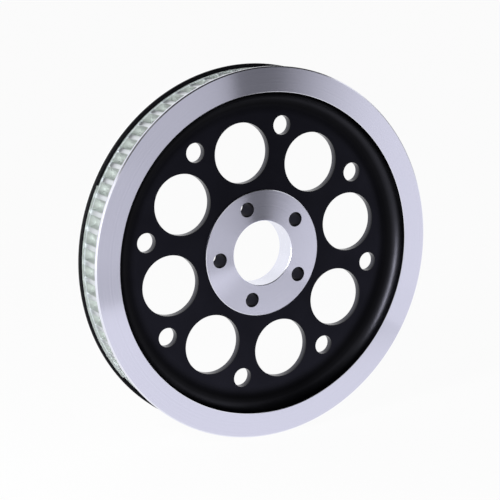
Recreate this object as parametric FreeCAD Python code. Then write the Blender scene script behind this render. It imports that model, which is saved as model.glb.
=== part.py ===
import FreeCAD, Part
import math
import os

# Belt pulley of the kind that is bolted to a motorcycle's rear wheel, made from one piece of aluminium.
# It turns about Y. The bright front faces -Y, +Z is up, and y = 0 is the hub's back face, which seats
# on the wheel. Lengths are in millimetres. Angles are in degrees in the front view, from +X towards +Z.

# One tooth, one bolt hole and one large hole stand in this direction
clock_angle = -32.5

# Toothed ring
tooth_count = 70
tooth_pitch = 14.0           # measured along the belt's pitch line
pitch_line_offset = 1.4      # from the tooth tips out to the pitch line
land_width = 2.4             # flat top of a tooth
tip_radius = 1.2             # rounds the two corners of a tooth
groove_depth = 6.0
flank_angle = 14.0           # between a groove's side and its centre line

# Rim with its two flanges
belt_width = 28.6
belt_clearance = 0.6         # on each side of the belt
flange_thickness = 3.35
flange_height = 4.2          # above the tooth tips
front_chamfer = 1.0          # outer edge of the front face
back_chamfer = 0.3           # outer edge of the back face
lead_in = 0.9                # bevel that guides the belt in between the flanges
rim_wall = 10.85             # metal below the tooth grooves
rim_draft = 10.0             # slope of the rim's inner walls
edge_break = 0.3             # inner edge of the rim's front and back faces
cove_radius = 16.5           # round inner corners between the rim and the web
cove_reach = 0.98            # most of a rim wall's height that a cove may take up

# Hub
bore_radius = 27.94
bore_chamfer = 0.55
hub_length = 20.3
hub_edge_distance = 13.035   # from the bolt circle out to the hub's edge
hub_recess = 12.75           # hub's front face behind the rim's front face
hub_chamfer = 0.4
bolt_count = 5
bolt_circle_diameter = 82.55
bolt_hole_radius = 6.4

# Web
web_step = 1.57              # web's front face behind the hub's front face
web_thickness = 6.5
hole_count = 8
large_hole_radius = 25.66
large_hole_ligament = 8.55   # metal between the hub and a large hole
small_hole_radius = 8.24
small_hole_inset = 28.17     # hole centre inside the rim's inner edge

# Radii that follow from the driving sizes
pitch_radius = tooth_count * tooth_pitch / (2 * math.pi)
tip_circle = pitch_radius - pitch_line_offset
root_circle = tip_circle - groove_depth
flange_radius = tip_circle + flange_height
rim_inner = root_circle - rim_wall
bolt_circle = bolt_circle_diameter / 2
hub_radius = bolt_circle + hub_edge_distance
large_hole_circle = hub_radius + large_hole_ligament + large_hole_radius
small_hole_circle = rim_inner - small_hole_inset

# Positions along the axis that follow from the driving sizes
belt_channel = belt_width + 2 * belt_clearance
hub_front = -hub_length
web_front = hub_front + web_step
web_back = web_front + web_thickness
rim_front = hub_front - hub_recess
channel_front = rim_front + flange_thickness
channel_back = channel_front + belt_channel
rim_back = channel_back + flange_thickness

# How far a cutter runs past the metal that it cuts
overcut = 2.0

origin = FreeCAD.Vector(0, 0, 0)
axis = FreeCAD.Vector(0, 1, 0)


def turned(r, y):
    """Point of the lathe section at radius r and axial place y."""
    return FreeCAD.Vector(r, y, 0)


def around(radius, angle, y):
    """Point at a radius and an angle about the axis."""
    turn = math.radians(angle)
    return FreeCAD.Vector(radius * math.cos(turn), y, radius * math.sin(turn))


def rounded_outline(corners):
    """Closed wire through (point, fillet radius) corners, with a tangent arc at each rounded one."""
    runs = []
    for k, (corner, fillet) in enumerate(corners):
        to_last = (corners[k - 1][0] - corner).normalize()
        to_next = (corners[(k + 1) % len(corners)][0] - corner).normalize()
        half_angle = to_last.getAngle(to_next) / 2
        reach = fillet / math.tan(half_angle)
        bisector = (to_last + to_next).normalize()
        middle = corner + bisector * (fillet / math.sin(half_angle) - fillet)
        runs.append((corner + to_last * reach, middle, corner + to_next * reach, fillet))
    edges = []
    for k, (start, middle, end, fillet) in enumerate(runs):
        edges.append(Part.LineSegment(runs[k - 1][2], start).toShape())
        if fillet > 0:
            edges.append(Part.Arc(start, middle, end).toShape())
    return Part.Wire(edges)


def cove_between(depth):
    """Foot of the rim's sloping wall on the web, and the cove that fits a wall of this depth."""
    slope = math.radians(rim_draft)
    half_corner = math.radians(90 + rim_draft) / 2
    widest = cove_reach * (depth - edge_break) / math.cos(slope) * math.tan(half_corner)
    return rim_inner - depth * math.tan(slope), min(cove_radius, widest)


def lathe_blank():
    """The whole pulley as turned, before the teeth and holes are cut."""
    front_foot, front_cove = cove_between(web_front - rim_front)
    back_foot, back_cove = cove_between(rim_back - web_back)
    break_foot = rim_inner - edge_break * math.tan(math.radians(rim_draft))
    section = [
        (turned(bore_radius, -bore_chamfer), 0),
        (turned(bore_radius, hub_front + bore_chamfer), 0),
        (turned(bore_radius + bore_chamfer, hub_front), 0),
        (turned(hub_radius - hub_chamfer, hub_front), 0),
        (turned(hub_radius, hub_front + hub_chamfer), 0),
        (turned(hub_radius, web_front), 0),
        (turned(front_foot, web_front), front_cove),
        (turned(break_foot, rim_front + edge_break), 0),
        (turned(rim_inner + edge_break, rim_front), 0),
        (turned(flange_radius - front_chamfer, rim_front), 0),
        (turned(flange_radius, rim_front + front_chamfer), 0),
        (turned(flange_radius, rim_back - back_chamfer), 0),
        (turned(flange_radius - back_chamfer, rim_back), 0),
        (turned(rim_inner + edge_break, rim_back), 0),
        (turned(break_foot, rim_back - edge_break), 0),
        (turned(back_foot, web_back), back_cove),
        (turned(hub_radius, web_back), 0),
        (turned(hub_radius, -hub_chamfer), 0),
        (turned(hub_radius - hub_chamfer, 0), 0),
        (turned(bore_radius + bore_chamfer, 0), 0),
    ]
    face = Part.Face(rounded_outline(section))
    return face.revolve(origin, axis, 360)


def tooth_outline(y):
    """Outline of the toothed ring: per tooth a round-bottomed groove, two rounded corners and a land."""
    pitch_angle = 360 / tooth_count
    lean = pitch_angle / 2 - math.degrees(land_width / 2 / tip_circle)
    corner_height = (tip_circle - tip_radius) * math.cos(math.radians(lean))
    corner_offset = (tip_circle - tip_radius) * math.sin(math.radians(lean))
    flank_sin = math.sin(math.radians(flank_angle))
    flank_cos = math.cos(math.radians(flank_angle))
    # The round bottom touches the groove's floor and both sides, and the sides touch the rounded corners
    reach = corner_offset * flank_cos - flank_sin * (corner_height - root_circle)
    groove_radius = (reach - tip_radius) / (1 - flank_sin)
    bottom_height = root_circle + groove_radius
    half_turn = math.radians((90 - lean - flank_angle) / 2)

    def place(centre_angle, height, offset):
        """Point given by its height along a groove's centre line and its offset to one side."""
        radius = math.hypot(height, offset)
        return around(radius, centre_angle + math.degrees(math.atan2(offset, height)), y)

    edges = []
    for tooth in range(tooth_count):
        centre = clock_angle + pitch_angle * (tooth + 0.5)
        sides = []
        for side in (-1, 1):
            land_end = around(tip_circle, centre + side * lean, y)
            corner_middle = place(centre, corner_height + tip_radius * math.cos(half_turn),
                                  side * (corner_offset - tip_radius * math.sin(half_turn)))
            flank_top = place(centre, corner_height + tip_radius * flank_sin,
                              side * (corner_offset - tip_radius * flank_cos))
            flank_foot = place(centre, bottom_height - groove_radius * flank_sin,
                               side * groove_radius * flank_cos)
            sides.append((land_end, corner_middle, flank_top, flank_foot))
        (near_land, near_middle, near_top, near_foot), (far_land, far_middle, far_top, far_foot) = sides
        floor = around(root_circle, centre, y)
        land_middle = around(tip_circle, centre + pitch_angle / 2, y)
        next_land = around(tip_circle, centre + pitch_angle - lean, y)
        edges += [
            Part.Arc(near_land, near_middle, near_top).toShape(),
            Part.LineSegment(near_top, near_foot).toShape(),
            Part.Arc(near_foot, floor, far_foot).toShape(),
            Part.LineSegment(far_foot, far_top).toShape(),
            Part.Arc(far_top, far_middle, far_land).toShape(),
            Part.Arc(far_land, land_middle, next_land).toShape(),
        ]
    return Part.Wire(edges)


def belt_channel_cutter():
    """Everything outside the teeth, between the flanges."""
    middle = FreeCAD.Vector(0, channel_front, 0)
    outer = Part.makeCircle(flange_radius + overcut, middle, axis)
    face = Part.Face([Part.Wire(outer), tooth_outline(channel_front)], "Part::FaceMakerBullseye")
    return face.extrude(axis * belt_channel)


def lead_in_cutter():
    """Ring that bevels the flanges' inner edges."""
    inner = flange_radius - lead_in
    outer = flange_radius + overcut
    spread = outer - inner
    section = [
        (turned(inner, channel_front), 0),
        (turned(outer, channel_front - spread), 0),
        (turned(outer, channel_back + spread), 0),
        (turned(inner, channel_back), 0),
    ]
    face = Part.Face(rounded_outline(section))
    return face.revolve(origin, axis, 360)


def hole_circle(count, circle, radius, first_angle):
    """Cutters for a ring of equal holes parallel to the axis."""
    cutters = []
    for k in range(count):
        start = around(circle, first_angle + 360 * k / count, rim_front - overcut)
        length = rim_back - rim_front + 2 * overcut
        cutters.append(Part.makeCylinder(radius, length, start, axis))
    return cutters


def belt_pulley():
    """The finished pulley: turned, grooved between the flanges, then drilled."""
    pulley = lathe_blank()
    pulley = pulley.cut([lead_in_cutter(), belt_channel_cutter()])
    half_step = 180 / hole_count
    pulley = pulley.cut(
        hole_circle(hole_count, large_hole_circle, large_hole_radius, clock_angle)
        + hole_circle(hole_count, small_hole_circle, small_hole_radius, clock_angle + half_step)
        + hole_circle(bolt_count, bolt_circle, bolt_hole_radius, clock_angle)
    )
    return pulley.removeSplitter().Solids[0]


os.makedirs("parts", exist_ok=True)
belt_pulley().exportStep("parts/belt_pulley.step")
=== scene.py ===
# %% [markdown]
# # A toothed belt pulley
#
# The pulley is one piece of aluminium. It was turned on a lathe, its rim was cut into teeth, its web was
# drilled through to save weight, and most of it was coated black before the faces that show were turned
# bright. The lesson makes the finishes first, because each surface takes its finish as it is made, and
# then the surfaces: turned ones, drilled ones and the teeth. The frame holds the exact solid, in metres,
# with the axis along Y and the bright front towards -Y.

# %% Load the frame
import bmesh
import bpy
import math
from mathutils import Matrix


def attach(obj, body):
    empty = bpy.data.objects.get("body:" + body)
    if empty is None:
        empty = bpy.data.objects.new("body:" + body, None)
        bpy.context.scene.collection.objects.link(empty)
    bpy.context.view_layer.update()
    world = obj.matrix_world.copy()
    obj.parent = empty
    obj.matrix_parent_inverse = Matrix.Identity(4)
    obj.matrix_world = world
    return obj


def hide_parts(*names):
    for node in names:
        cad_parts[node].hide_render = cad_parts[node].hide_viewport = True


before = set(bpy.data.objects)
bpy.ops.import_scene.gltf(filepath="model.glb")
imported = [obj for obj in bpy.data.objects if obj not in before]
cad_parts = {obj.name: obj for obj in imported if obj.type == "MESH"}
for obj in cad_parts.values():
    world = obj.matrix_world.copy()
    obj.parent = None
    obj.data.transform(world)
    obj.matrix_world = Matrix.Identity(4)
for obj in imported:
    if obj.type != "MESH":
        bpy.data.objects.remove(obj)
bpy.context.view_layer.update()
scene = bpy.context.scene
MM = 0.001

# %% [markdown]
# ## The camera
#
# The pulley is seen from the left of its axis and a little above it, through a long lens, so that all
# its circles show as ellipses. A camera can be moved by hand until the view looks right. Here its place,
# turn and lens are numbers, worked out from the ellipses of the rim, the hub and the bore, because a
# small error in the view would look like an error in the pulley.

# %% Camera
CAMERA_PLACE = (-0.57006, -1.02109, 0.24425)
# Both angles are in degrees.
VIEW_TURN, VIEW_DROP = -29.119, 11.849
LENS, SENSOR_WIDTH, SIGHT = 99.6875, 36.0, 60.0
camera_data = bpy.data.cameras.new("camera")
camera_data.sensor_width = SENSOR_WIDTH
camera_data.lens = LENS
camera_data.clip_end = SIGHT
camera = bpy.data.objects.new("camera", camera_data)
camera.location = CAMERA_PLACE
camera.rotation_euler = (math.radians(90 - VIEW_DROP), 0, math.radians(VIEW_TURN))
scene.collection.objects.link(camera)
scene.camera = camera
print("camera at", tuple(camera.location), "lens", camera_data.lens)

# %% [markdown]
# ## Sizes
#
# A turned part is drawn as a few radii and a few places along its axis. They could be measured on the
# frame's mesh, but they are easier to follow from the drawing, in millimetres, with the rest worked out
# from them, so that each surface here lies on the solid's own. Seventy teeth of 14 mm make the belt's
# pitch circle, and the tooth tips lie just inside it.

# %% Rim sizes
TOOTH_COUNT, TOOTH_PITCH, PITCH_LINE_OFFSET = 70, 14.0, 1.4
LAND_WIDTH, TIP_RADIUS, FLANK_ANGLE = 2.4, 1.2, math.radians(14)
GROOVE_DEPTH, FLANGE_HEIGHT, RIM_WALL = 6.0, 4.2, 10.85
TIP_CIRCLE = TOOTH_COUNT * TOOTH_PITCH / (2 * math.pi) - PITCH_LINE_OFFSET
ROOT_CIRCLE = TIP_CIRCLE - GROOVE_DEPTH
FLANGE_RADIUS = TIP_CIRCLE + FLANGE_HEIGHT
RIM_INNER = ROOT_CIRCLE - RIM_WALL
FLANGE_THICKNESS, BELT_CHANNEL, LEAD_IN = 3.35, 29.8, 0.9
FRONT_CHAMFER, FRONT_STEP, BACK_CHAMFER, EDGE_BREAK = 1.0, 0.7, 0.3, 0.3
RIM_DRAFT = 10
RIM_SLOPE = math.tan(math.radians(RIM_DRAFT))
COVE_RADIUS = 16.5
COVE_REACH = COVE_RADIUS / math.tan(math.radians((90 + RIM_DRAFT) / 2))
print(f"outer diameter {2 * FLANGE_RADIUS:.1f} mm, tooth tips {2 * TIP_CIRCLE:.1f} mm")

# %% Hub and web sizes
BORE_RADIUS, BORE_CHAMFER = 27.94, 0.55
HUB_RADIUS, HUB_CHAMFER, HUB_STEP = 54.31, 0.4, 0.25
HUB_LENGTH, HUB_RECESS = 20.3, 12.75
WEB_STEP, WEB_THICKNESS = 1.57, 6.5
PAD_FILLET, BOSS_FILLET = 0.5, 2.0
HUB_FRONT, HUB_BACK = -HUB_LENGTH, 0.0
WEB_FRONT = HUB_FRONT + WEB_STEP
WEB_BACK = WEB_FRONT + WEB_THICKNESS
RIM_FRONT = HUB_FRONT - HUB_RECESS
CHANNEL_FRONT = RIM_FRONT + FLANGE_THICKNESS
CHANNEL_BACK = CHANNEL_FRONT + BELT_CHANNEL
RIM_BACK = CHANNEL_BACK + FLANGE_THICKNESS
FRONT_FOOT = RIM_INNER - (WEB_FRONT - RIM_FRONT) * RIM_SLOPE
BACK_FOOT = RIM_INNER - (RIM_BACK - WEB_BACK) * RIM_SLOPE
# One tooth, one bolt hole and one large hole stand in this direction.
CLOCK = math.radians(-32.5)
print(f"width {RIM_BACK - RIM_FRONT:.1f} mm, web from {WEB_FRONT:.2f} to {WEB_BACK:.2f} mm")

# %% [markdown]
# ## One small function for nodes
#
# Finishes and shapes are both made by trees of nodes. A tree can be laid out by hand in an editor, but
# in a script each node has to be added, set and linked, which soon fills pages. One function does all
# three: an input that is given a socket, or a list of sockets, is linked, and any other value is set on
# the input.


# %% Node helper
def add(tree, kind, inputs=None, **settings):
    """A node of this kind, with its settings made and its inputs linked or set."""
    node = tree.nodes.new(kind)
    for name, value in settings.items():
        setattr(node, name, value)
    for name, value in (inputs or {}).items():
        sockets = value if isinstance(value, list) else [value]
        if isinstance(sockets[0], bpy.types.NodeSocket):
            for socket in sockets:
                tree.links.new(socket, node.inputs[name])
        else:
            node.inputs[name].default_value = value
    return node


def cleared_tree(owner):
    """The node tree of a material or a world, emptied."""
    owner.use_nodes = True
    owner.node_tree.nodes.clear()
    return owner.node_tree


print("node helpers ready")

# %% [markdown]
# ## Finishes
#
# A finish is what the last process left on the metal: turning, boring, plating or coating. It could be
# painted as a picture, but then the piece would have to be unwrapped, and the marks would blur from
# close by. Here each finish is worked out from the place on the piece, in metres, so its marks keep
# their real size. Colours are written as hex values, as they look on a screen, and one function makes
# them linear. Most marks run round the axis, so another one measures the distance from it.


# %% Colours and coordinates
def colour(code):
    """Linear colour from an sRGB hex value."""
    parts = [int(code[k:k + 2], 16) / 255 for k in (0, 2, 4)]
    return [p / 12.92 if p <= 0.04045 else ((p + 0.055) / 1.055) ** 2.4 for p in parts] + [1.0]


def axis_distance(tree, place):
    """Distance from the pulley's axis."""
    flat = add(tree, "ShaderNodeVectorMath", {0: place, 1: (1, 0, 1)}, operation="MULTIPLY")
    return add(tree, "ShaderNodeVectorMath", {0: flat.outputs[0]}, operation="LENGTH").outputs["Value"]


def end_in_shader(tree, inputs):
    """Ends a finish in a Principled shader with these inputs."""
    shader = add(tree, "ShaderNodeBsdfPrincipled", inputs)
    add(tree, "ShaderNodeOutputMaterial", {"Surface": shader.outputs[0]})


print("white is", colour("FFFFFF")[:3])

# %% [markdown]
# ### Turned aluminium
#
# The rim's face and the hub's faces were turned last. The tool left a spiral of very fine grooves, and
# light spreads across grooves and not along them, so bright and dark fans open from the middle. Real
# grooves in the mesh would be far finer than a pixel, so the shader does their work: anisotropy, with
# its tangent round the axis. The grooves lean outwards, as a tool's feed marks do, so the top of a face
# mirrors what is higher up than the bottom does. That lean is a steady slope in the bump's height.

# %% Turned aluminium finish
# Aluminium faced on a lathe: pale metal with rings that spread the light into fans. Its grooves are 0.2 mm
# apart, drawn 1.2 mm apart here so that they show.
FEED_MARK, MARK_DEPTH = 1.2 * MM, 0.008 * MM
FEED_LEAN = 0.12
turned_aluminium = bpy.data.materials.new("turned_aluminium")
tree = cleared_tree(turned_aluminium)
radius = axis_distance(tree, add(tree, "ShaderNodeTexCoord").outputs["Object"])
marks = add(tree, "ShaderNodeTexNoise", {"W": radius, "Scale": 1 / FEED_MARK, "Detail": 2.0},
            noise_dimensions="1D").outputs["Fac"]
tone = add(tree, "ShaderNodeValToRGB", {"Fac": marks})
tone.color_ramp.elements[0].color = colour("D1D1E5")
tone.color_ramp.elements[1].color = colour("DDDDF0")
gloss = add(tree, "ShaderNodeMapRange", {"Value": marks, "To Min": 0.17, "To Max": 0.23})
lean = add(tree, "ShaderNodeMath", {0: radius, 1: -FEED_LEAN}, operation="MULTIPLY")
relief = add(tree, "ShaderNodeMath", {0: marks, 1: MARK_DEPTH, 2: lean.outputs[0]},
             operation="MULTIPLY_ADD")
bump = add(tree, "ShaderNodeBump", {"Height": relief.outputs[0], "Distance": 1.0})
around_axis = add(tree, "ShaderNodeTangent", direction_type="RADIAL", axis="Y")
end_in_shader(tree, {
    "Base Color": tone.outputs["Color"], "Metallic": 1.0, "Roughness": gloss.outputs[0],
    "Anisotropic": 0.95, "Anisotropic Rotation": 0.25, "Tangent": around_axis.outputs[0],
    "Normal": bump.outputs[0]})
print("made", turned_aluminium.name)

# %% [markdown]
# ### Bored aluminium
#
# The bore slides over the wheel's spigot, so it was finished with a fine cut. It is brighter than the
# faces and mirrors the ground behind the pulley. Its marks run round it, one behind the other. They
# could be ridges in the mesh, but they are nearly lost in the gloss, so a noise along the axis changes
# tone and gloss instead.

# %% Bored aluminium finish
# Fine-bored aluminium: a bright, soft mirror with faint rings about 1 mm apart along the axis.
BORE_MARK = 1.0 * MM
bored_aluminium = bpy.data.materials.new("bored_aluminium")
tree = cleared_tree(bored_aluminium)
place = add(tree, "ShaderNodeTexCoord").outputs["Object"]
depth = add(tree, "ShaderNodeSeparateXYZ", {0: place}).outputs["Y"]
marks = add(tree, "ShaderNodeTexNoise", {"W": depth, "Scale": 1 / BORE_MARK, "Detail": 2.0},
            noise_dimensions="1D").outputs["Fac"]
tone = add(tree, "ShaderNodeValToRGB", {"Fac": marks})
tone.color_ramp.elements[0].color = colour("E2E4F2")
tone.color_ramp.elements[1].color = colour("F1F2FC")
gloss = add(tree, "ShaderNodeMapRange", {"Value": marks, "To Min": 0.22, "To Max": 0.30})
end_in_shader(tree, {
    "Base Color": tone.outputs["Color"], "Metallic": 1.0, "Roughness": gloss.outputs[0]})
print("made", bored_aluminium.name)

# %% [markdown]
# ### Bright edges
#
# The front flange's edge and the narrow bevels of the rim and the hub were cut with a very sharp tool,
# and they show as thin lines of light. They could share the finish of the faces, but its rings would
# break up a strip that is a millimetre wide. So they have a finish of their own: plain, pale and nearly
# a mirror.

# %% Bright edge finish
# Aluminium cut with a diamond tool: nearly a mirror, with a faint change of gloss every 3 mm along it.
EDGE_CLOUD = 3.0 * MM
bright_edge = bpy.data.materials.new("diamond_turned_aluminium")
tree = cleared_tree(bright_edge)
place = add(tree, "ShaderNodeTexCoord").outputs["Object"]
clouds = add(tree, "ShaderNodeTexNoise", {"Vector": place, "Scale": 1 / EDGE_CLOUD, "Detail": 2.0})
gloss = add(tree, "ShaderNodeMapRange", {"Value": clouds.outputs["Fac"], "To Min": 0.16, "To Max": 0.22})
end_in_shader(tree, {"Base Color": colour("EAEBF7"), "Metallic": 1.0, "Roughness": gloss.outputs[0]})
print("made", bright_edge.name)

# %% [markdown]
# ### Hard plated teeth
#
# A belt would wear soft aluminium away, so the tooth band has a hard plated skin. It is dull and faintly
# green in the grooves, and paler and smoother on the lands, which are what is left of the turned blank.
# Two materials would need faces that end exactly at the lands. One material that reads the distance from
# the axis finds the lands by itself.

# %% Hard plating finish
# Hard plating on aluminium: a dull grey-green metal with slow clouds about 9 mm across, paler on the lands.
PLATE_CLOUD, CLOUD_SHARE = 9.0 * MM, 0.2
# The lands fade in below the tooth tips and out above them, in millimetres from the tip circle.
LAND_BELOW, LAND_ABOVE = (-0.7, -0.1), (0.1, 0.4)
hard_plating = bpy.data.materials.new("hard_plating")
tree = cleared_tree(hard_plating)
place = add(tree, "ShaderNodeTexCoord").outputs["Object"]
clouds = add(tree, "ShaderNodeTexNoise", {"Vector": place, "Scale": 1 / PLATE_CLOUD, "Detail": 4.0})
radius = axis_distance(tree, place)
up_to = add(tree, "ShaderNodeMapRange", {
    "Value": radius, "From Min": (TIP_CIRCLE + LAND_BELOW[0]) * MM,
    "From Max": (TIP_CIRCLE + LAND_BELOW[1]) * MM})
beyond = add(tree, "ShaderNodeMapRange", {
    "Value": radius, "From Min": (TIP_CIRCLE + LAND_ABOVE[0]) * MM,
    "From Max": (TIP_CIRCLE + LAND_ABOVE[1]) * MM, "To Min": 1.0, "To Max": 0.0})
land = add(tree, "ShaderNodeMath", {0: up_to.outputs[0], 1: beyond.outputs[0]}, operation="MULTIPLY")
pale = add(tree, "ShaderNodeMath", {0: clouds.outputs["Fac"], 1: CLOUD_SHARE, 2: land.outputs[0]},
           operation="MULTIPLY_ADD")
tone = add(tree, "ShaderNodeValToRGB", {"Fac": pale.outputs[0]})
tone.color_ramp.elements[0].color = colour("C3C8C5")
tone.color_ramp.elements[1].color = colour("E7EBEF")
gloss = add(tree, "ShaderNodeMapRange", {"Value": land.outputs[0], "To Min": 0.55, "To Max": 0.35})
end_in_shader(tree, {
    "Base Color": tone.outputs["Color"], "Metallic": 1.0, "Roughness": gloss.outputs[0]})
print("made", hard_plating.name)

# %% [markdown]
# ### Satin black coat
#
# The web, the coves and the back are coated black. The coat is thin and hard, and it glints like a dark
# metal and not like paint, so it is a metal with a very dark colour and a weaker reflection at low
# angles. In the cove its colour carries painted shade, a dark band at the foot, and a painted highlight,
# a lighter band higher up the wall. A mask could be painted for them, but they run round the axis, so a
# ramp over the distance from it is enough.

# %% Satin black finish
# Baked black coat on metal: a dark satin sheen, broken by a grain 0.8 mm across and by clouds of 30 mm.
COAT_GRAIN, GRAIN_HEIGHT, COAT_CLOUD = 0.8 * MM, 0.003 * MM, 30 * MM
satin_black = bpy.data.materials.new("satin_black_coat")
tree = cleared_tree(satin_black)
place = add(tree, "ShaderNodeTexCoord").outputs["Object"]
grain = add(tree, "ShaderNodeTexNoise", {"Vector": place, "Scale": 1 / COAT_GRAIN, "Detail": 2.0})
clouds = add(tree, "ShaderNodeTexNoise", {"Vector": place, "Scale": 1 / COAT_CLOUD, "Detail": 3.0})
tone = add(tree, "ShaderNodeValToRGB", {"Fac": clouds.outputs["Fac"]})
tone.color_ramp.elements[0].color = colour("1B1B22")
tone.color_ramp.elements[1].color = colour("26262F")
gloss = add(tree, "ShaderNodeMapRange", {"Value": grain.outputs["Fac"], "To Min": 0.27, "To Max": 0.37})
bump = add(tree, "ShaderNodeBump", {"Height": grain.outputs["Fac"], "Distance": GRAIN_HEIGHT})
print("coat tones and grain set")

# %% Satin black with painted shade and highlight along the cove
# Each pair is a distance from the axis in millimetres and the share of the coat's tone there; a share
# below 1 is painted shade and one above 1 is a painted highlight.
PAINTED_COVE_LIGHT = ((127.0, 0.42), (130.4, 0.62), (133.8, 1.8), (135.0, 1.8), (136.6, 0.7))
SHADES_START, SHADES_END, BLUE_SHARE = 118, 138, 0.84
across = add(tree, "ShaderNodeMapRange", {
    "Value": axis_distance(tree, place), "From Min": SHADES_START * MM, "From Max": SHADES_END * MM})
# This ramp paints shade at the foot of the cove and a highlight higher up its wall into the coat's colour.
gathered = add(tree, "ShaderNodeValToRGB", {"Fac": across.outputs[0]})
shades = gathered.color_ramp.elements
shades.remove(shades[1])
shades[0].color = colour("FFFFFF")
for distance, share in PAINTED_COVE_LIGHT:
    position = (distance - SHADES_START) / (SHADES_END - SHADES_START)
    shades.new(position).color = [share, share, BLUE_SHARE * share, 1]
# The coat's own tone, times the painted shade and highlight of the ramp.
coat = add(tree, "ShaderNodeVectorMath", {0: tone.outputs["Color"], 1: gathered.outputs["Color"]},
           operation="MULTIPLY")
end_in_shader(tree, {
    "Base Color": coat.outputs[0], "Metallic": 1.0, "Specular Tint": colour("CBCBCB"),
    "Roughness": gloss.outputs[0], "Normal": bump.outputs[0]})
print("made", satin_black.name, "with", len(shades), "shades")

# %% [markdown]
# ### Gloss coat in the holes
#
# In the large and small holes the coat lies over the rings that the drill left, and it is glossier
# there. Its colour is painted dark at the front edge of a hole and lighter deeper in, as a painted
# reflection of the bright ground. The rings could be turned into the walls, but those are only a few
# millimetres long, so a noise along the axis bends the light.

# %% Gloss black finish
# Baked black coat over drilled metal: dark and glossy, with rings about 1 mm wide along the axis,
# and a painted reflection that lightens it towards the back.
DRILL_RING, RING_HEIGHT = 1.0 * MM, 0.02 * MM
gloss_black = bpy.data.materials.new("gloss_black_coat")
tree = cleared_tree(gloss_black)
place = add(tree, "ShaderNodeTexCoord").outputs["Object"]
depth = add(tree, "ShaderNodeSeparateXYZ", {0: place}).outputs["Y"]
rings = add(tree, "ShaderNodeTexNoise", {"W": depth, "Scale": 1 / DRILL_RING, "Detail": 3.0},
            noise_dimensions="1D").outputs["Fac"]
gloss = add(tree, "ShaderNodeMapRange", {"Value": rings, "To Min": 0.18, "To Max": 0.34})
bump = add(tree, "ShaderNodeBump", {"Height": rings, "Distance": RING_HEIGHT})
# A ramp along the axis paints a reflection: dark at the front of a hole, lighter towards the back.
painted_reflection_ramp = add(tree, "ShaderNodeMapRange", {
    "Value": depth, "From Min": WEB_FRONT * MM, "From Max": WEB_BACK * MM})
tone = add(tree, "ShaderNodeValToRGB", {"Fac": painted_reflection_ramp.outputs[0]})
tone.color_ramp.elements[0].color = colour("101014")
tone.color_ramp.elements[1].color = colour("54545A")
tone.color_ramp.elements.new(0.5).color = colour("4A4A50")
end_in_shader(tree, {
    "Base Color": tone.outputs["Color"], "Metallic": 1.0, "Roughness": gloss.outputs[0],
    "Normal": bump.outputs[0]})
print("made", gloss_black.name)

# %% [markdown]
# ### Matte coat on the back flange
#
# The back flange's edge and the margin of coat on its inner face are dull and nearly black, with hardly
# a highlight. The satin coat could be used again, but it would catch the white ground and blur the
# outline, so this one is not a metal, reflects little and is rough.

# %% Matte black finish
# Black coat left dull: a deep, even black with the coat's own grain in its faint gloss.
matte_black = bpy.data.materials.new("matte_black_coat")
tree = cleared_tree(matte_black)
place = add(tree, "ShaderNodeTexCoord").outputs["Object"]
grain = add(tree, "ShaderNodeTexNoise", {"Vector": place, "Scale": 1 / COAT_GRAIN, "Detail": 2.0})
gloss = add(tree, "ShaderNodeMapRange", {"Value": grain.outputs["Fac"], "To Min": 0.50, "To Max": 0.62})
end_in_shader(tree, {
    "Base Color": colour("08080C"), "Specular IOR Level": 0.08, "Roughness": gloss.outputs[0]})
print("made", matte_black.name)

# %% [markdown]
# ## Trees for shapes
#
# The pulley's shapes follow rules, so trees of Geometry Nodes make them. A tree can stay on an object as
# a live modifier, but the pulley is one plain mesh in the end. So each tree takes a wire and named
# sizes, stands its result up on the axis, makes it real and gives it a finish. The resulting mesh is
# kept, and the wire is thrown away. A wire is a few points, each with its own rounding.


# %% Trees with named inputs
def new_tree(name, **sockets):
    """A geometry tree with a geometry going in and out, and named inputs."""
    tree = bpy.data.node_groups.new(name, "GeometryNodeTree")
    tree.interface.new_socket("Geometry", in_out="OUTPUT", socket_type="NodeSocketGeometry")
    tree.interface.new_socket("Geometry", in_out="INPUT", socket_type="NodeSocketGeometry")
    for label, kind in sockets.items():
        tree.interface.new_socket(label, in_out="INPUT", socket_type="NodeSocket" + kind)
    return tree, tree.nodes.new("NodeGroupInput").outputs


def finished(tree, geometry, material, smooth):
    """Stands a surface up on the pulley's axis, realizes it and gives it its finish."""
    upright = add(tree, "GeometryNodeTransform", {"Geometry": geometry, "Rotation": (math.pi / 2, 0, 0)})
    real = add(tree, "GeometryNodeRealizeInstances", {"Geometry": upright.outputs[0]})
    shaded = add(tree, "GeometryNodeSetShadeSmooth", {"Geometry": real.outputs[0], "Shade Smooth": smooth})
    done = add(tree, "GeometryNodeSetMaterial", {"Geometry": shaded.outputs[0], "Material": material})
    return done.outputs[0]


print("tree helpers ready")

# %% Run a tree
surfaces = []


def run(tree, values, points=((0, 0, 0),)):
    """Evaluates a tree on a wire of (x, y, rounding) points in millimetres and keeps the mesh."""
    wire = bpy.data.meshes.new("wire")
    steps = [(k, k + 1) for k in range(len(points) - 1)]
    wire.from_pydata([(x * MM, y * MM, 0) for x, y, rounding in points], steps, [])
    roundings = wire.attributes.new("rounding", "FLOAT", "POINT")
    roundings.data.foreach_set("value", [rounding * MM for x, y, rounding in points])
    holder = bpy.data.objects.new("holder", wire)
    scene.collection.objects.link(holder)
    modifier = holder.modifiers.new("made", "NODES")
    modifier.node_group = tree
    for item in tree.interface.items_tree:
        if item.name in values:
            modifier[item.identifier] = values[item.name]
    evaluated = holder.evaluated_get(bpy.context.evaluated_depsgraph_get())
    surfaces.append(bpy.data.meshes.new_from_object(evaluated))
    bpy.data.objects.remove(holder)
    bpy.data.meshes.remove(wire)
    return len(surfaces[-1].polygons)


print("runner ready")

# %% [markdown]
# ## Turned surfaces
#
# A lathe makes a surface by moving a tool along a line while the work turns. Spin does that to a mesh,
# with every point of a cove drawn. Curve to Mesh does it in a tree: the line is the profile and a circle
# is the rail. Fillet Curve rounds each corner of the line by the radius that its point carries, so a
# cove or a fillet is one point and a number.


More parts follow.
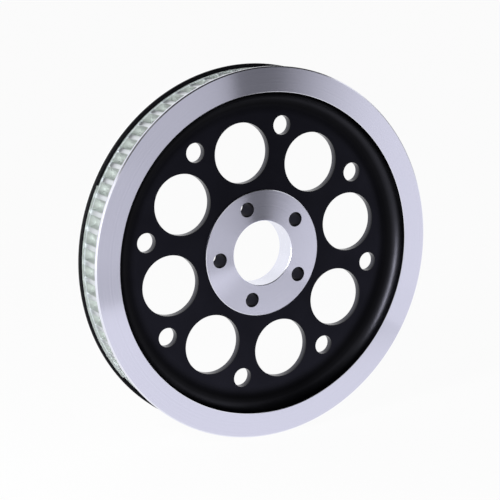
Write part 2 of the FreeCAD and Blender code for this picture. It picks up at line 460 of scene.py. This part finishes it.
# %% Turning tree
def rounded_line(tree, given):
    """The wire as a curve, with each corner rounded by its own radius."""
    line = add(tree, "GeometryNodeMeshToCurve", {"Mesh": given["Geometry"]})
    rounding = add(tree, "GeometryNodeInputNamedAttribute", {"Name": "rounding"}, data_type="FLOAT")
    rounded = add(tree, "GeometryNodeFilletCurve", {
        "Curve": line.outputs[0], "Count": given["Arc"], "Radius": rounding.outputs["Attribute"],
        "Limit Radius": False}, mode="POLY")
    return rounded.outputs[0]


RAIL_RADIUS = 100.0 * MM
turning, given = new_tree("turning", Around="Int", Arc="Int", Finish="Material")
inward = add(turning, "GeometryNodeTransform", {
    "Geometry": rounded_line(turning, given), "Translation": (-RAIL_RADIUS, 0, 0)})
circle = add(turning, "GeometryNodeCurvePrimitiveCircle", {
    "Resolution": given["Around"], "Radius": RAIL_RADIUS})
rail = add(turning, "GeometryNodeSetCurveNormal", {"Curve": circle.outputs[0]}, mode="Z_UP")
turned = add(turning, "GeometryNodeCurveToMesh", {
    "Curve": rail.outputs[0], "Profile Curve": inward.outputs[0]})
add(turning, "NodeGroupOutput", {
    "Geometry": finished(turning, turned.outputs[0], given["Finish"], True)})
print("turning tree has", len(turning.nodes), "nodes")

# %% [markdown]
# ### Front of the pulley
#
# From the middle outwards these are the bore, the hub's edge and foot, the cove that runs up to the rim,
# the rim's bright face and the front flange's edge. One long line would turn them all, but a line has
# one finish, so each finish has a line of its own. Neighbouring lines share their end points, and that
# lets the surfaces close up later.

# %% One turned line
AROUND, ARC_STEPS = 560, 14


def turn(name, finish, *points):
    """Turns a line of (radius, place, rounding) points about the axis, in one finish."""
    values = {"Around": AROUND, "Arc": ARC_STEPS, "Finish": finish}
    print(name, run(turning, values, points), "faces")


print("a turned line has", AROUND, "steps round the axis")

# %% Turn the front
hub_edge = (HUB_RADIUS, HUB_FRONT + HUB_STEP, 0)
wall_top = (RIM_INNER - EDGE_BREAK * RIM_SLOPE, RIM_FRONT + EDGE_BREAK, 0)
face_start = (RIM_INNER + EDGE_BREAK, RIM_FRONT, 0)
face_end = (FLANGE_RADIUS - FRONT_CHAMFER, RIM_FRONT, 0)
turn("bore", bored_aluminium,
     (BORE_RADIUS + BORE_CHAMFER, HUB_FRONT, 0), (BORE_RADIUS, HUB_FRONT + BORE_CHAMFER, 0),
     (BORE_RADIUS, HUB_BACK - BORE_CHAMFER, 0), (BORE_RADIUS + BORE_CHAMFER, HUB_BACK, 0))
turn("hub front edge", bright_edge, (HUB_RADIUS - HUB_CHAMFER, HUB_FRONT, 0), hub_edge)
turn("hub front foot", satin_black,
     hub_edge, (HUB_RADIUS, WEB_FRONT, PAD_FILLET), (HUB_RADIUS + PAD_FILLET, WEB_FRONT, 0))
turn("front cove", satin_black,
     (FRONT_FOOT - COVE_REACH, WEB_FRONT, 0), (FRONT_FOOT, WEB_FRONT, COVE_RADIUS), wall_top)
turn("front rim edge", bright_edge, wall_top, face_start)
turn("rim face", turned_aluminium, face_start, face_end)
turn("front flange edge", bright_edge,
     face_end, (FLANGE_RADIUS, RIM_FRONT + FRONT_STEP, 0),
     (FLANGE_RADIUS, CHANNEL_FRONT - LEAD_IN, 0), (FLANGE_RADIUS - LEAD_IN, CHANNEL_FRONT, 0))

# %% [markdown]
# ### Back of the pulley
#
# The back is black: the flange's edge, its flat face with the cove inside it, and the boss that seats on
# the wheel. It could be left out of a picture taken from the front, but the pulley is looked at from all
# sides, and the back flange's edge shows beyond the teeth. The same tree turns it.

# %% Turn the back
turn("back flange edge", matte_black,
     (FLANGE_RADIUS - LEAD_IN, CHANNEL_BACK, 0), (FLANGE_RADIUS, CHANNEL_BACK + LEAD_IN, 0),
     (FLANGE_RADIUS, RIM_BACK - BACK_CHAMFER, 0), (FLANGE_RADIUS - BACK_CHAMFER, RIM_BACK, 0))
turn("back cove", satin_black,
     (FLANGE_RADIUS - BACK_CHAMFER, RIM_BACK, 0), (RIM_INNER + EDGE_BREAK, RIM_BACK, 0),
     (RIM_INNER - EDGE_BREAK * RIM_SLOPE, RIM_BACK - EDGE_BREAK, 0),
     (BACK_FOOT, WEB_BACK, COVE_RADIUS), (BACK_FOOT - COVE_REACH, WEB_BACK, 0))
turn("hub back boss", satin_black,
     (HUB_RADIUS + BOSS_FILLET, WEB_BACK, 0), (HUB_RADIUS, WEB_BACK, BOSS_FILLET),
     (HUB_RADIUS, HUB_BACK - HUB_CHAMFER, 0), (HUB_RADIUS - HUB_CHAMFER, HUB_BACK, 0))

# %% [markdown]
# ## Drilled faces
#
# The web and the hub's faces are flat rings with round holes. Holes can be cut with a boolean, which has
# to find where two meshes cross. Here nothing has to be found: Fill Curve fills a ring of circles and
# leaves the circles inside it open, so a face with holes is an outer circle, an inner circle and a
# circle put on each point of a pattern. The same pattern, pulled along the axis, makes the holes' walls
# with the same points.


# %% Flat drawings along the axis
def moved(tree, geometry, place):
    """A flat drawing moved to its place along the axis, which is still the drawing's own -Z."""
    turned_over = add(tree, "ShaderNodeMath", {0: place, 1: -1.0}, operation="MULTIPLY")
    shift = add(tree, "ShaderNodeCombineXYZ", {"Z": turned_over.outputs[0]})
    there = add(tree, "GeometryNodeTransform", {"Geometry": geometry, "Translation": shift.outputs[0]})
    return there.outputs[0]


def pulled(tree, wire, start, end):
    """The wall that a closed wire leaves when it is pulled along the axis from start to end."""
    length = add(tree, "ShaderNodeMath", {0: start, 1: end}, operation="SUBTRACT")
    reach = add(tree, "ShaderNodeCombineXYZ", {"Z": length.outputs[0]})
    wall = add(tree, "GeometryNodeExtrudeMesh", {
        "Mesh": moved(tree, wire, start), "Offset": reach.outputs[0], "Offset Scale": 1.0}, mode="EDGES")
    return wall.outputs[0]


def flat_face(tree, curves, place, finish):
    """The flat face between closed curves, at its place along the axis."""
    outline = add(tree, "GeometryNodeJoinGeometry", {"Geometry": curves})
    filled = add(tree, "GeometryNodeFillCurve", {"Curve": outline.outputs[0]}, mode="TRIANGLES")
    return finished(tree, moved(tree, filled.outputs[0], place), finish, False)


print("moving, pulling and filling ready")


# %% Ring of holes
def hole_ring(tree, given, ring):
    """One circle for each hole of a ring."""
    centres = add(tree, "GeometryNodeMeshCircle", {
        "Vertices": given[f"{ring} Count"], "Radius": given[f"{ring} Circle"]})
    start = add(tree, "ShaderNodeCombineXYZ", {"Z": given[f"{ring} Start"]})
    clocked = add(tree, "GeometryNodeTransform", {
        "Geometry": centres.outputs[0], "Rotation": start.outputs[0]})
    edge = add(tree, "GeometryNodeCurvePrimitiveCircle", {
        "Resolution": given["Steps"], "Radius": given[f"{ring} Radius"]})
    placed = add(tree, "GeometryNodeInstanceOnPoints", {
        "Points": clocked.outputs[0], "Instance": edge.outputs[0]})
    return add(tree, "GeometryNodeRealizeInstances", {"Geometry": placed.outputs[0]}).outputs[0]


print("hole rings ready")


# %% Inputs of a drilled plate
ENDS = ("Front", "Back")


def plate_inputs(rings):
    """The named inputs of a plate with these rings of holes, and the kind of each."""
    inputs = {"Around": "Int", "Steps": "Int"}
    inputs.update({f"{end} {size}": "Float" for end in ENDS for size in ("Place", "Inner", "Outer")})
    for ring in rings:
        inputs[f"{ring} Count"] = "Int"
        inputs.update({f"{ring} {size}": "Float" for size in ("Circle", "Radius", "Start")})
    inputs.update({f"{side} Finish": "Material" for side in (*ENDS, "Wall")})
    return inputs


print("a plate with one ring of holes has", len(plate_inputs(["Bolt"])), "inputs")


# %% Drilling trees
def drilling_tree(name, *rings):
    """A plate between two flat faces, with rings of holes through it."""
    tree, given = new_tree(name, **plate_inputs(rings))
    all_rings = [hole_ring(tree, given, ring) for ring in rings]
    holes = add(tree, "GeometryNodeJoinGeometry", {"Geometry": all_rings}).outputs[0]
    parts = []
    for end in ENDS:
        circles = [add(tree, "GeometryNodeCurvePrimitiveCircle", {
            "Resolution": given["Around"], "Radius": given[f"{end} {size}"]}).outputs[0]
            for size in ("Inner", "Outer")]
        parts.append(flat_face(tree, [holes, *circles], given[f"{end} Place"], given[f"{end} Finish"]))
    wires = add(tree, "GeometryNodeCurveToMesh", {"Curve": holes})
    wall = pulled(tree, wires.outputs[0], given["Front Place"], given["Back Place"])
    parts.append(finished(tree, wall, given["Wall Finish"], True))
    plate = add(tree, "GeometryNodeJoinGeometry", {"Geometry": parts})
    add(tree, "NodeGroupOutput", {"Geometry": plate.outputs[0]})
    return tree


web_drilling = drilling_tree("web_drilling", "Large", "Small")
hub_drilling = drilling_tree("hub_drilling", "Bolt")
print("web tree", len(web_drilling.nodes), "nodes, hub tree", len(hub_drilling.nodes), "nodes")

# %% [markdown]
# ### Web and hub
#
# Eight large holes lighten the web, with eight small ones half a step further round near the rim. The
# hub has a ring of five bolt holes. Each hole could be placed by hand, but a ring is a count, a circle,
# a radius and a first direction, so the two plates are the same tree with other numbers.

# %% Drill the web
HOLE_COUNT, HOLE_STEPS = 8, 96
LARGE_HOLE, LARGE_CIRCLE = 25.66, 88.52
SMALL_HOLE, SMALL_INSET = 8.24, 28.17
web = {
    "Front Place": WEB_FRONT * MM, "Front Inner": (HUB_RADIUS + PAD_FILLET) * MM,
    "Front Outer": (FRONT_FOOT - COVE_REACH) * MM, "Front Finish": satin_black,
    "Back Place": WEB_BACK * MM, "Back Inner": (HUB_RADIUS + BOSS_FILLET) * MM,
    "Back Outer": (BACK_FOOT - COVE_REACH) * MM, "Back Finish": satin_black,
    "Large Count": HOLE_COUNT, "Large Circle": LARGE_CIRCLE * MM,
    "Large Radius": LARGE_HOLE * MM, "Large Start": CLOCK,
    "Small Count": HOLE_COUNT, "Small Circle": (RIM_INNER - SMALL_INSET) * MM,
    "Small Radius": SMALL_HOLE * MM, "Small Start": CLOCK + math.pi / HOLE_COUNT,
    "Wall Finish": gloss_black, "Around": AROUND, "Steps": HOLE_STEPS}
print("web", run(web_drilling, web), "faces")

# %% Drill the hub
BOLT_HOLE, BOLT_CIRCLE, BOLT_COUNT, BOLT_STEPS = 6.4, 82.55 / 2, 5, 48
hub = {
    "Front Place": HUB_FRONT * MM, "Back Place": HUB_BACK * MM,
    "Bolt Count": BOLT_COUNT, "Bolt Circle": BOLT_CIRCLE * MM,
    "Bolt Radius": BOLT_HOLE * MM, "Bolt Start": CLOCK,
    "Wall Finish": satin_black, "Around": AROUND, "Steps": BOLT_STEPS}
for end in ENDS:
    hub[f"{end} Inner"] = (BORE_RADIUS + BORE_CHAMFER) * MM
    hub[f"{end} Outer"] = (HUB_RADIUS - HUB_CHAMFER) * MM
    hub[f"{end} Finish"] = turned_aluminium
print("hub", run(hub_drilling, hub), "faces")

# %% [markdown]
# ## Teeth
#
# The belt's teeth sit in round grooves. A groove could be drawn point by point, but it is a V with its
# point rounded by a large radius and its two upper corners by a small one, so it takes five points. The
# large radius follows from the others: the round bottom has to touch the groove's floor and both of its
# sides.

# %% One groove
half_pitch = math.pi / TOOTH_COUNT
corner_turn = half_pitch - LAND_WIDTH / 2 / TIP_CIRCLE
corner_up = (TIP_CIRCLE - TIP_RADIUS) * math.cos(corner_turn)
corner_out = (TIP_CIRCLE - TIP_RADIUS) * math.sin(corner_turn)
flank_sin, flank_cos = math.sin(FLANK_ANGLE), math.cos(FLANK_ANGLE)
side_reach = corner_out * flank_cos - flank_sin * (corner_up - ROOT_CIRCLE)
groove_radius = (side_reach - TIP_RADIUS) / (1 - flank_sin)
apex_up = ROOT_CIRCLE + groove_radius - groove_radius / flank_sin
side_length = -apex_up * flank_cos + math.sqrt(TIP_CIRCLE ** 2 - (apex_up * flank_sin) ** 2)
tip_up, tip_out = apex_up + side_length * flank_cos, side_length * flank_sin
land_up, land_out = TIP_CIRCLE * math.cos(half_pitch), TIP_CIRCLE * math.sin(half_pitch)
GROOVE = [(land_up, -land_out, 0), (tip_up, -tip_out, TIP_RADIUS), (apex_up, 0, groove_radius),
          (tip_up, tip_out, TIP_RADIUS), (land_up, land_out, 0)]
print(f"groove radius {groove_radius:.2f} mm, depth {TIP_CIRCLE - ROOT_CIRCLE:.1f} mm")

# %% [markdown]
# ### From one groove to the tooth band
#
# The band is the same groove seventy times, from flange to flange, and the flanges' inner faces stand at
# its two ends. An Array modifier could turn copies about the axis, but it would not make those faces.
# The tree puts a turned copy on each of seventy points, welds them into one closed outline and pulls
# that along the axis. The same outline, with a circle round it, fills the inner face of each flange.

# %% Toothed outline
OUTLINE_WELD = 0.01 * MM
toothing, given = new_tree("toothing", Teeth="Int", Start="Float", Arc="Int", Around="Int", Front="Float",
                           Back="Float", Edge="Float", Coated="Float", Finish="Material")
groove = add(toothing, "GeometryNodeCurveToMesh", {"Curve": rounded_line(toothing, given)})
spots = add(toothing, "GeometryNodePoints", {"Count": given["Teeth"]})
share = add(toothing, "ShaderNodeMath", {0: math.tau, 1: given["Teeth"]}, operation="DIVIDE")
number = add(toothing, "GeometryNodeInputIndex")
direction = add(toothing, "ShaderNodeMath", {
    0: number.outputs[0], 1: share.outputs[0], 2: given["Start"]}, operation="MULTIPLY_ADD")
about = add(toothing, "ShaderNodeCombineXYZ", {"Z": direction.outputs[0]})
copies = add(toothing, "GeometryNodeInstanceOnPoints", {
    "Points": spots.outputs[0], "Instance": groove.outputs[0], "Rotation": about.outputs[0]})
real = add(toothing, "GeometryNodeRealizeInstances", {"Geometry": copies.outputs[0]})
outline = add(toothing, "GeometryNodeMergeByDistance", {
    "Geometry": real.outputs[0], "Distance": OUTLINE_WELD}).outputs[0]
print("outline takes", len(toothing.nodes), "nodes")

# %% Tooth band
band = pulled(toothing, outline, given["Front"], given["Back"])
parts = [finished(toothing, band, given["Finish"], True)]
closed = add(toothing, "GeometryNodeMeshToCurve", {"Mesh": outline}).outputs[0]
for end, limit in (("Front", "Edge"), ("Back", "Coated")):
    circle = add(toothing, "GeometryNodeCurvePrimitiveCircle", {
        "Resolution": given["Around"], "Radius": given[limit]})
    parts.append(flat_face(toothing, [closed, circle.outputs[0]], given[end], given["Finish"]))
whole = add(toothing, "GeometryNodeJoinGeometry", {"Geometry": parts})
add(toothing, "NodeGroupOutput", {"Geometry": whole.outputs[0]})
print("toothing tree has", len(toothing.nodes), "nodes")

# %% [markdown]
# ### Cutting the teeth
#
# The plating covers the grooves and the flanges' inner faces, but on the back flange the black coat laps
# over the edge as a narrow margin. A mask in the material could draw it. Here the plated face ends
# earlier on that side and two narrow turned rings make up the margin, so that its edge is as sharp as a
# taped one.

# %% Cut the teeth
GROOVE_STEPS = 8
COAT_WIDE, COAT_NARROW = 2.3, 1.1
flange_lip = FLANGE_RADIUS - LEAD_IN
teeth = {
    "Teeth": TOOTH_COUNT, "Start": CLOCK + half_pitch, "Arc": GROOVE_STEPS, "Around": AROUND,
    "Front": CHANNEL_FRONT * MM, "Back": CHANNEL_BACK * MM, "Edge": flange_lip * MM,
    "Coated": (flange_lip - COAT_WIDE) * MM, "Finish": hard_plating}
print("teeth", run(toothing, teeth, GROOVE), "faces")
turn("coat margin", matte_black,
     *[(flange_lip - width, CHANNEL_BACK, 0) for width in (COAT_WIDE, COAT_NARROW, 0)])

# %% [markdown]
# ## One closed piece
#
# The real pulley is one piece of metal, so its skin is one closed mesh. The surfaces could stay separate
# objects, but light would leak in at their edges. They are gathered into one mesh, and each face keeps
# its own finish as a slot number.

# %% Gather the skin
finishes = [turned_aluminium, bored_aluminium, bright_edge, satin_black, matte_black, gloss_black,
            hard_plating]
skin = bmesh.new()
for surface in surfaces:
    known = len(skin.faces)
    skin.from_mesh(surface)
    skin.faces.ensure_lookup_table()
    slots = [finishes.index(material) for material in surface.materials if material]
    for face in skin.faces[known:]:
        face.material_index = slots[min(face.material_index, len(slots) - 1)]
    bpy.data.meshes.remove(surface)
print("gathered", len(skin.faces), "faces")

# %% [markdown]
# ### The taped edge
#
# The tape that kept the coat off the plating lay further out along one part of the back flange, so the
# black margin is narrower there and ends in a step on both sides. The step could be cut into the rings,
# but they already have an edge all round and an edge every fraction of a degree. So the inner ring's
# faces between two directions are simply given the plating.

# %% Taped edge
# The directions are in degrees, from +X towards +Z. The depth is how near a face lies to the flange, in mm.
TAPE_START, TAPE_END, TAPE_DEPTH = 155.2, 218.7, 0.01
taped = 0
for face in skin.faces:
    x, y, z = face.calc_center_median() / MM
    on_flange = abs(y - CHANNEL_BACK) < TAPE_DEPTH
    on_inner_ring = flange_lip - COAT_WIDE < math.hypot(x, z) < flange_lip - COAT_NARROW
    if on_flange and on_inner_ring and TAPE_START < math.degrees(math.atan2(z, x)) % 360 < TAPE_END:
        face.material_index = finishes.index(hard_plating)
        taped += 1
print("plating on", taped, "faces of the margin")

# %% [markdown]
# ### Closing the skin
#
# The surfaces share their end points, so welding points that coincide closes the skin. Edges that turn
# sharply are marked sharp, so that round surfaces shade smoothly up to them. A bevel on every edge would
# do the same at the cost of many more faces, and the edges that are really bevelled already are.

# %% Weld the skin
WELD, SHARP, MILLILITRE = 0.002 * MM, math.radians(28), 1e-6
bmesh.ops.remove_doubles(skin, verts=skin.verts, dist=WELD)
bmesh.ops.recalc_face_normals(skin, faces=skin.faces)
for edge in skin.edges:
    edge.smooth = edge.calc_face_angle(0) < SHARP
open_edges = sum(len(edge.link_faces) != 2 for edge in skin.edges)
volume = skin.calc_volume(signed=True) / MILLILITRE
body = bpy.data.meshes.new("pulley_body")
skin.to_mesh(body)
skin.free()
for finish in finishes:
    body.materials.append(finish)
pulley = bpy.data.objects.new("pulley_body", body)
scene.collection.objects.link(pulley)
body.calc_loop_triangles()
print(f"skin: {len(body.loop_triangles)} triangles, {open_edges} open edges, {volume:.1f} ml")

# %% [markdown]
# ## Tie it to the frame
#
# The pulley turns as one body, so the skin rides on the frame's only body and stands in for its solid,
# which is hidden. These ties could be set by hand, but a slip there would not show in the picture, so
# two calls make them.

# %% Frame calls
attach(pulley, "root")
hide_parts("belt_pulley")
print("pulley_body replaces belt_pulley")

# %% [markdown]
# ## Floor
#
# The pulley stands on a white ground that shows through every hole. More light would whiten a grey
# floor, but it would burn out the bright metal too. So the floor is pale paper that takes the light and
# the shadow, and to the camera and in mirrors it is nearly white by a glow of its own, less the soft
# shadow that it keeps.

# %% Floor
FLOOR_REACH, FLOOR_LEVEL = 30.0, -FLANGE_RADIUS * MM
sides = ((-1, -1), (1, -1), (1, 1), (-1, 1))
corners = [(x * FLOOR_REACH, y * FLOOR_REACH, FLOOR_LEVEL) for x, y in sides]
floor_mesh = bpy.data.meshes.new("floor")
floor_mesh.from_pydata(corners, [], [(0, 1, 2, 3)])
floor = bpy.data.objects.new("floor", floor_mesh)
scene.collection.objects.link(floor)
print("floor at", FLOOR_LEVEL)

# %% Floor finish
# Pale matt paper: no gloss and no pattern, only the soft shadow on it.
FLOOR_GLOW = 0.95
pale_paper = bpy.data.materials.new("pale_paper")
tree = cleared_tree(pale_paper)
lit = add(tree, "ShaderNodeBsdfDiffuse", {"Color": colour("F4F4F4")})
glow = add(tree, "ShaderNodeEmission", {"Color": colour("FFFFFF"), "Strength": 1.0})
ray = add(tree, "ShaderNodeLightPath").outputs
mirrored = add(tree, "ShaderNodeMath", {0: ray["Is Camera Ray"], 1: ray["Is Glossy Ray"]},
               operation="MAXIMUM")
seen = add(tree, "ShaderNodeMath", {0: mirrored.outputs[0], 1: ray["Is Transmission Ray"]},
           operation="MAXIMUM")
amount = add(tree, "ShaderNodeMath", {0: seen.outputs[0], 1: FLOOR_GLOW}, operation="MULTIPLY")
mixed = add(tree, "ShaderNodeMixShader", {0: amount.outputs[0], 1: lit.outputs[0], 2: glow.outputs[0]})
add(tree, "ShaderNodeOutputMaterial", {"Surface": mixed.outputs[0]})
floor_mesh.materials.append(pale_paper)
print("made", pale_paper.name)

# %% [markdown]
# ## Room
#
# Bright metal shows what stands round it, so the room matters as much as the lamp. A picture of a studio
# could be wrapped round the scene. Two ramps do the same with nothing to load: white behind the pulley
# and dark in front of it, and dimmer towards the ceiling. To the camera itself the room is plain white.

# %% Room
# The ramps run over parts of a direction of length 1: towards the back, and upwards.
BACK_START, BACK_END, FRONT_DIM = -0.1, 0.4, 0.05
CEILING_START, CEILING_END, CEILING_DIM = 0.55, 0.9, 0.25
world = bpy.data.worlds.new("studio")
scene.world = world
tree = cleared_tree(world)
ray = add(tree, "ShaderNodeLightPath").outputs
outwards = add(tree, "ShaderNodeTexCoord").outputs["Generated"]
towards = add(tree, "ShaderNodeSeparateXYZ", {0: outwards}).outputs
backdrop = add(tree, "ShaderNodeMapRange", {
    "Value": towards["Y"], "From Min": BACK_START, "From Max": BACK_END,
    "To Min": FRONT_DIM, "To Max": 1.0})
ceiling = add(tree, "ShaderNodeMapRange", {
    "Value": towards["Z"], "From Min": CEILING_START, "From Max": CEILING_END,
    "To Min": 1.0, "To Max": CEILING_DIM})
room = add(tree, "ShaderNodeMath", {0: backdrop.outputs[0], 1: ceiling.outputs[0]}, operation="MULTIPLY")
strength = add(tree, "ShaderNodeMath", {0: ray["Is Camera Ray"], 1: room.outputs[0]}, operation="MAXIMUM")
air = add(tree, "ShaderNodeBackground", {"Color": colour("FFFFFF"), "Strength": strength.outputs[0]})
add(tree, "ShaderNodeOutputWorld", {"Surface": air.outputs[0]})
print("room has", len(tree.nodes), "nodes")

# %% [markdown]
# ## Lamp
#
# One tall, narrow softbox on the left draws the long highlight in the cove on the right. A point lamp
# would leave a dot there and a sun would light the whole cove. The lamp could be turned by angles, but a
# place and a point to face are easier to follow, and the angles come from them.

# %% Softbox
STRIP_PLACE, STRIP_AIM = (-0.755, -0.341, 0.22), (0.13, -0.03, 0.0)
STRIP_WIDTH, STRIP_HEIGHT, STRIP_WATTS = 0.14, 0.74, 8
lamp = bpy.data.lights.new("left_strip", "AREA")
lamp.shape = "RECTANGLE"
lamp.size = STRIP_WIDTH
lamp.size_y = STRIP_HEIGHT
lamp.energy = STRIP_WATTS
strip = bpy.data.objects.new("left_strip", lamp)
strip.location = STRIP_PLACE
away = [a - b for a, b in zip(STRIP_PLACE, STRIP_AIM)]
tilt = math.atan2(math.hypot(away[0], away[1]), away[2])
strip.rotation_euler = (tilt, 0, math.atan2(away[0], -away[1]))
strip.visible_camera = False
scene.collection.objects.link(strip)
print("softbox at", STRIP_PLACE, "with", lamp.energy, "watts")

# %% [markdown]
# ## Cards
#
# In a studio, white, grey and black cards stand round polished metal, out of the picture, so that the
# metal has something to mirror. The fans of light and dark on the rim and the hub come from them. Lamps
# in their place would also light the black coat. So each card is a glowing sheet that only mirrors can
# see.

# %% Card corners
CARD_DISTANCE = 0.53


def standing(start, end, height):
    """Corners of an upright card in front of the pulley, between two directions in degrees."""
    ends = []
    for direction in (math.radians(start), math.radians(end)):
        ends.append((CARD_DISTANCE * math.sin(direction), -CARD_DISTANCE * math.cos(direction)))
    path = ((ends[0], 0), (ends[1], 0), (ends[1], height), (ends[0], height))
    return [(x, y, FLOOR_LEVEL + z) for (x, y), z in path]


print("cards stand", CARD_DISTANCE, "m from the axis")


# %% One card
def card(name, corners, start_glow, end_glow):
    """A card with a glow that changes from one end to the other, seen only by mirrors."""
    mesh = bpy.data.meshes.new(name)
    mesh.from_pydata(corners, [], [(0, 1, 2, 3)])
    mesh.uv_layers.new(name="across").data.foreach_set("uv", [0, 0, 1, 0, 1, 1, 0, 1])
    material = bpy.data.materials.new(name)
    tree = cleared_tree(material)
    flat = add(tree, "ShaderNodeUVMap", uv_map="across").outputs[0]
    across = add(tree, "ShaderNodeSeparateXYZ", {0: flat}).outputs["X"]
    shade = add(tree, "ShaderNodeMapRange", {"Value": across, "To Min": start_glow, "To Max": end_glow})
    glow = add(tree, "ShaderNodeEmission", {"Strength": shade.outputs[0]})
    add(tree, "ShaderNodeOutputMaterial", {"Surface": glow.outputs[0]})
    mesh.materials.append(material)
    holder = bpy.data.objects.new(name, mesh)
    scene.collection.objects.link(holder)
    holder.visible_camera = holder.visible_diffuse = holder.visible_shadow = False


print("card helper ready")

# %% Set the cards
DARK, SHADE, GREY, WHITE = 0.19, 0.65, 0.66, 1.0
# Each row gives a card's name, its two directions in degrees, its height in metres and the glow at each end.
STANDING_CARDS = (
    ("grey_card", -35, 19.7, 0.68, GREY, GREY),
    ("dark_card", 19.7, 30, 0.62, DARK, DARK),
    ("fading_card", 30, 49, 0.62, DARK, WHITE),
    ("white_card", 49, 85, 0.62, WHITE, WHITE),
    ("edge_card", -58.5, -44, 0.42, WHITE, WHITE),
)
for name, start, end, height, start_glow, end_glow in STANDING_CARDS:
    card(name, standing(start, end, height), start_glow, end_glow)
# The lying card is a painted shadow on the floor in front of the pulley, seen only in mirrors.
SHADE_LEFT, SHADE_RIGHT, SHADE_NEAR, SHADE_FAR, CARD_LIFT = 0.0, 0.30, -0.33, -0.18, 0.001
lying = ((SHADE_LEFT, SHADE_NEAR), (SHADE_RIGHT, SHADE_NEAR),
         (SHADE_RIGHT, SHADE_FAR), (SHADE_LEFT, SHADE_FAR))
card("shade_card", [(x, y, FLOOR_LEVEL + CARD_LIFT) for x, y in lying], SHADE, SHADE)
print("cards:", [row[0] for row in STANDING_CARDS] + ["shade_card"])

# %% [markdown]
# ## Colour view
#
# Colours are shown as they were written, which the Standard view does and a filmic one would not.

# %% Colour view
scene.view_settings.view_transform = "Standard"
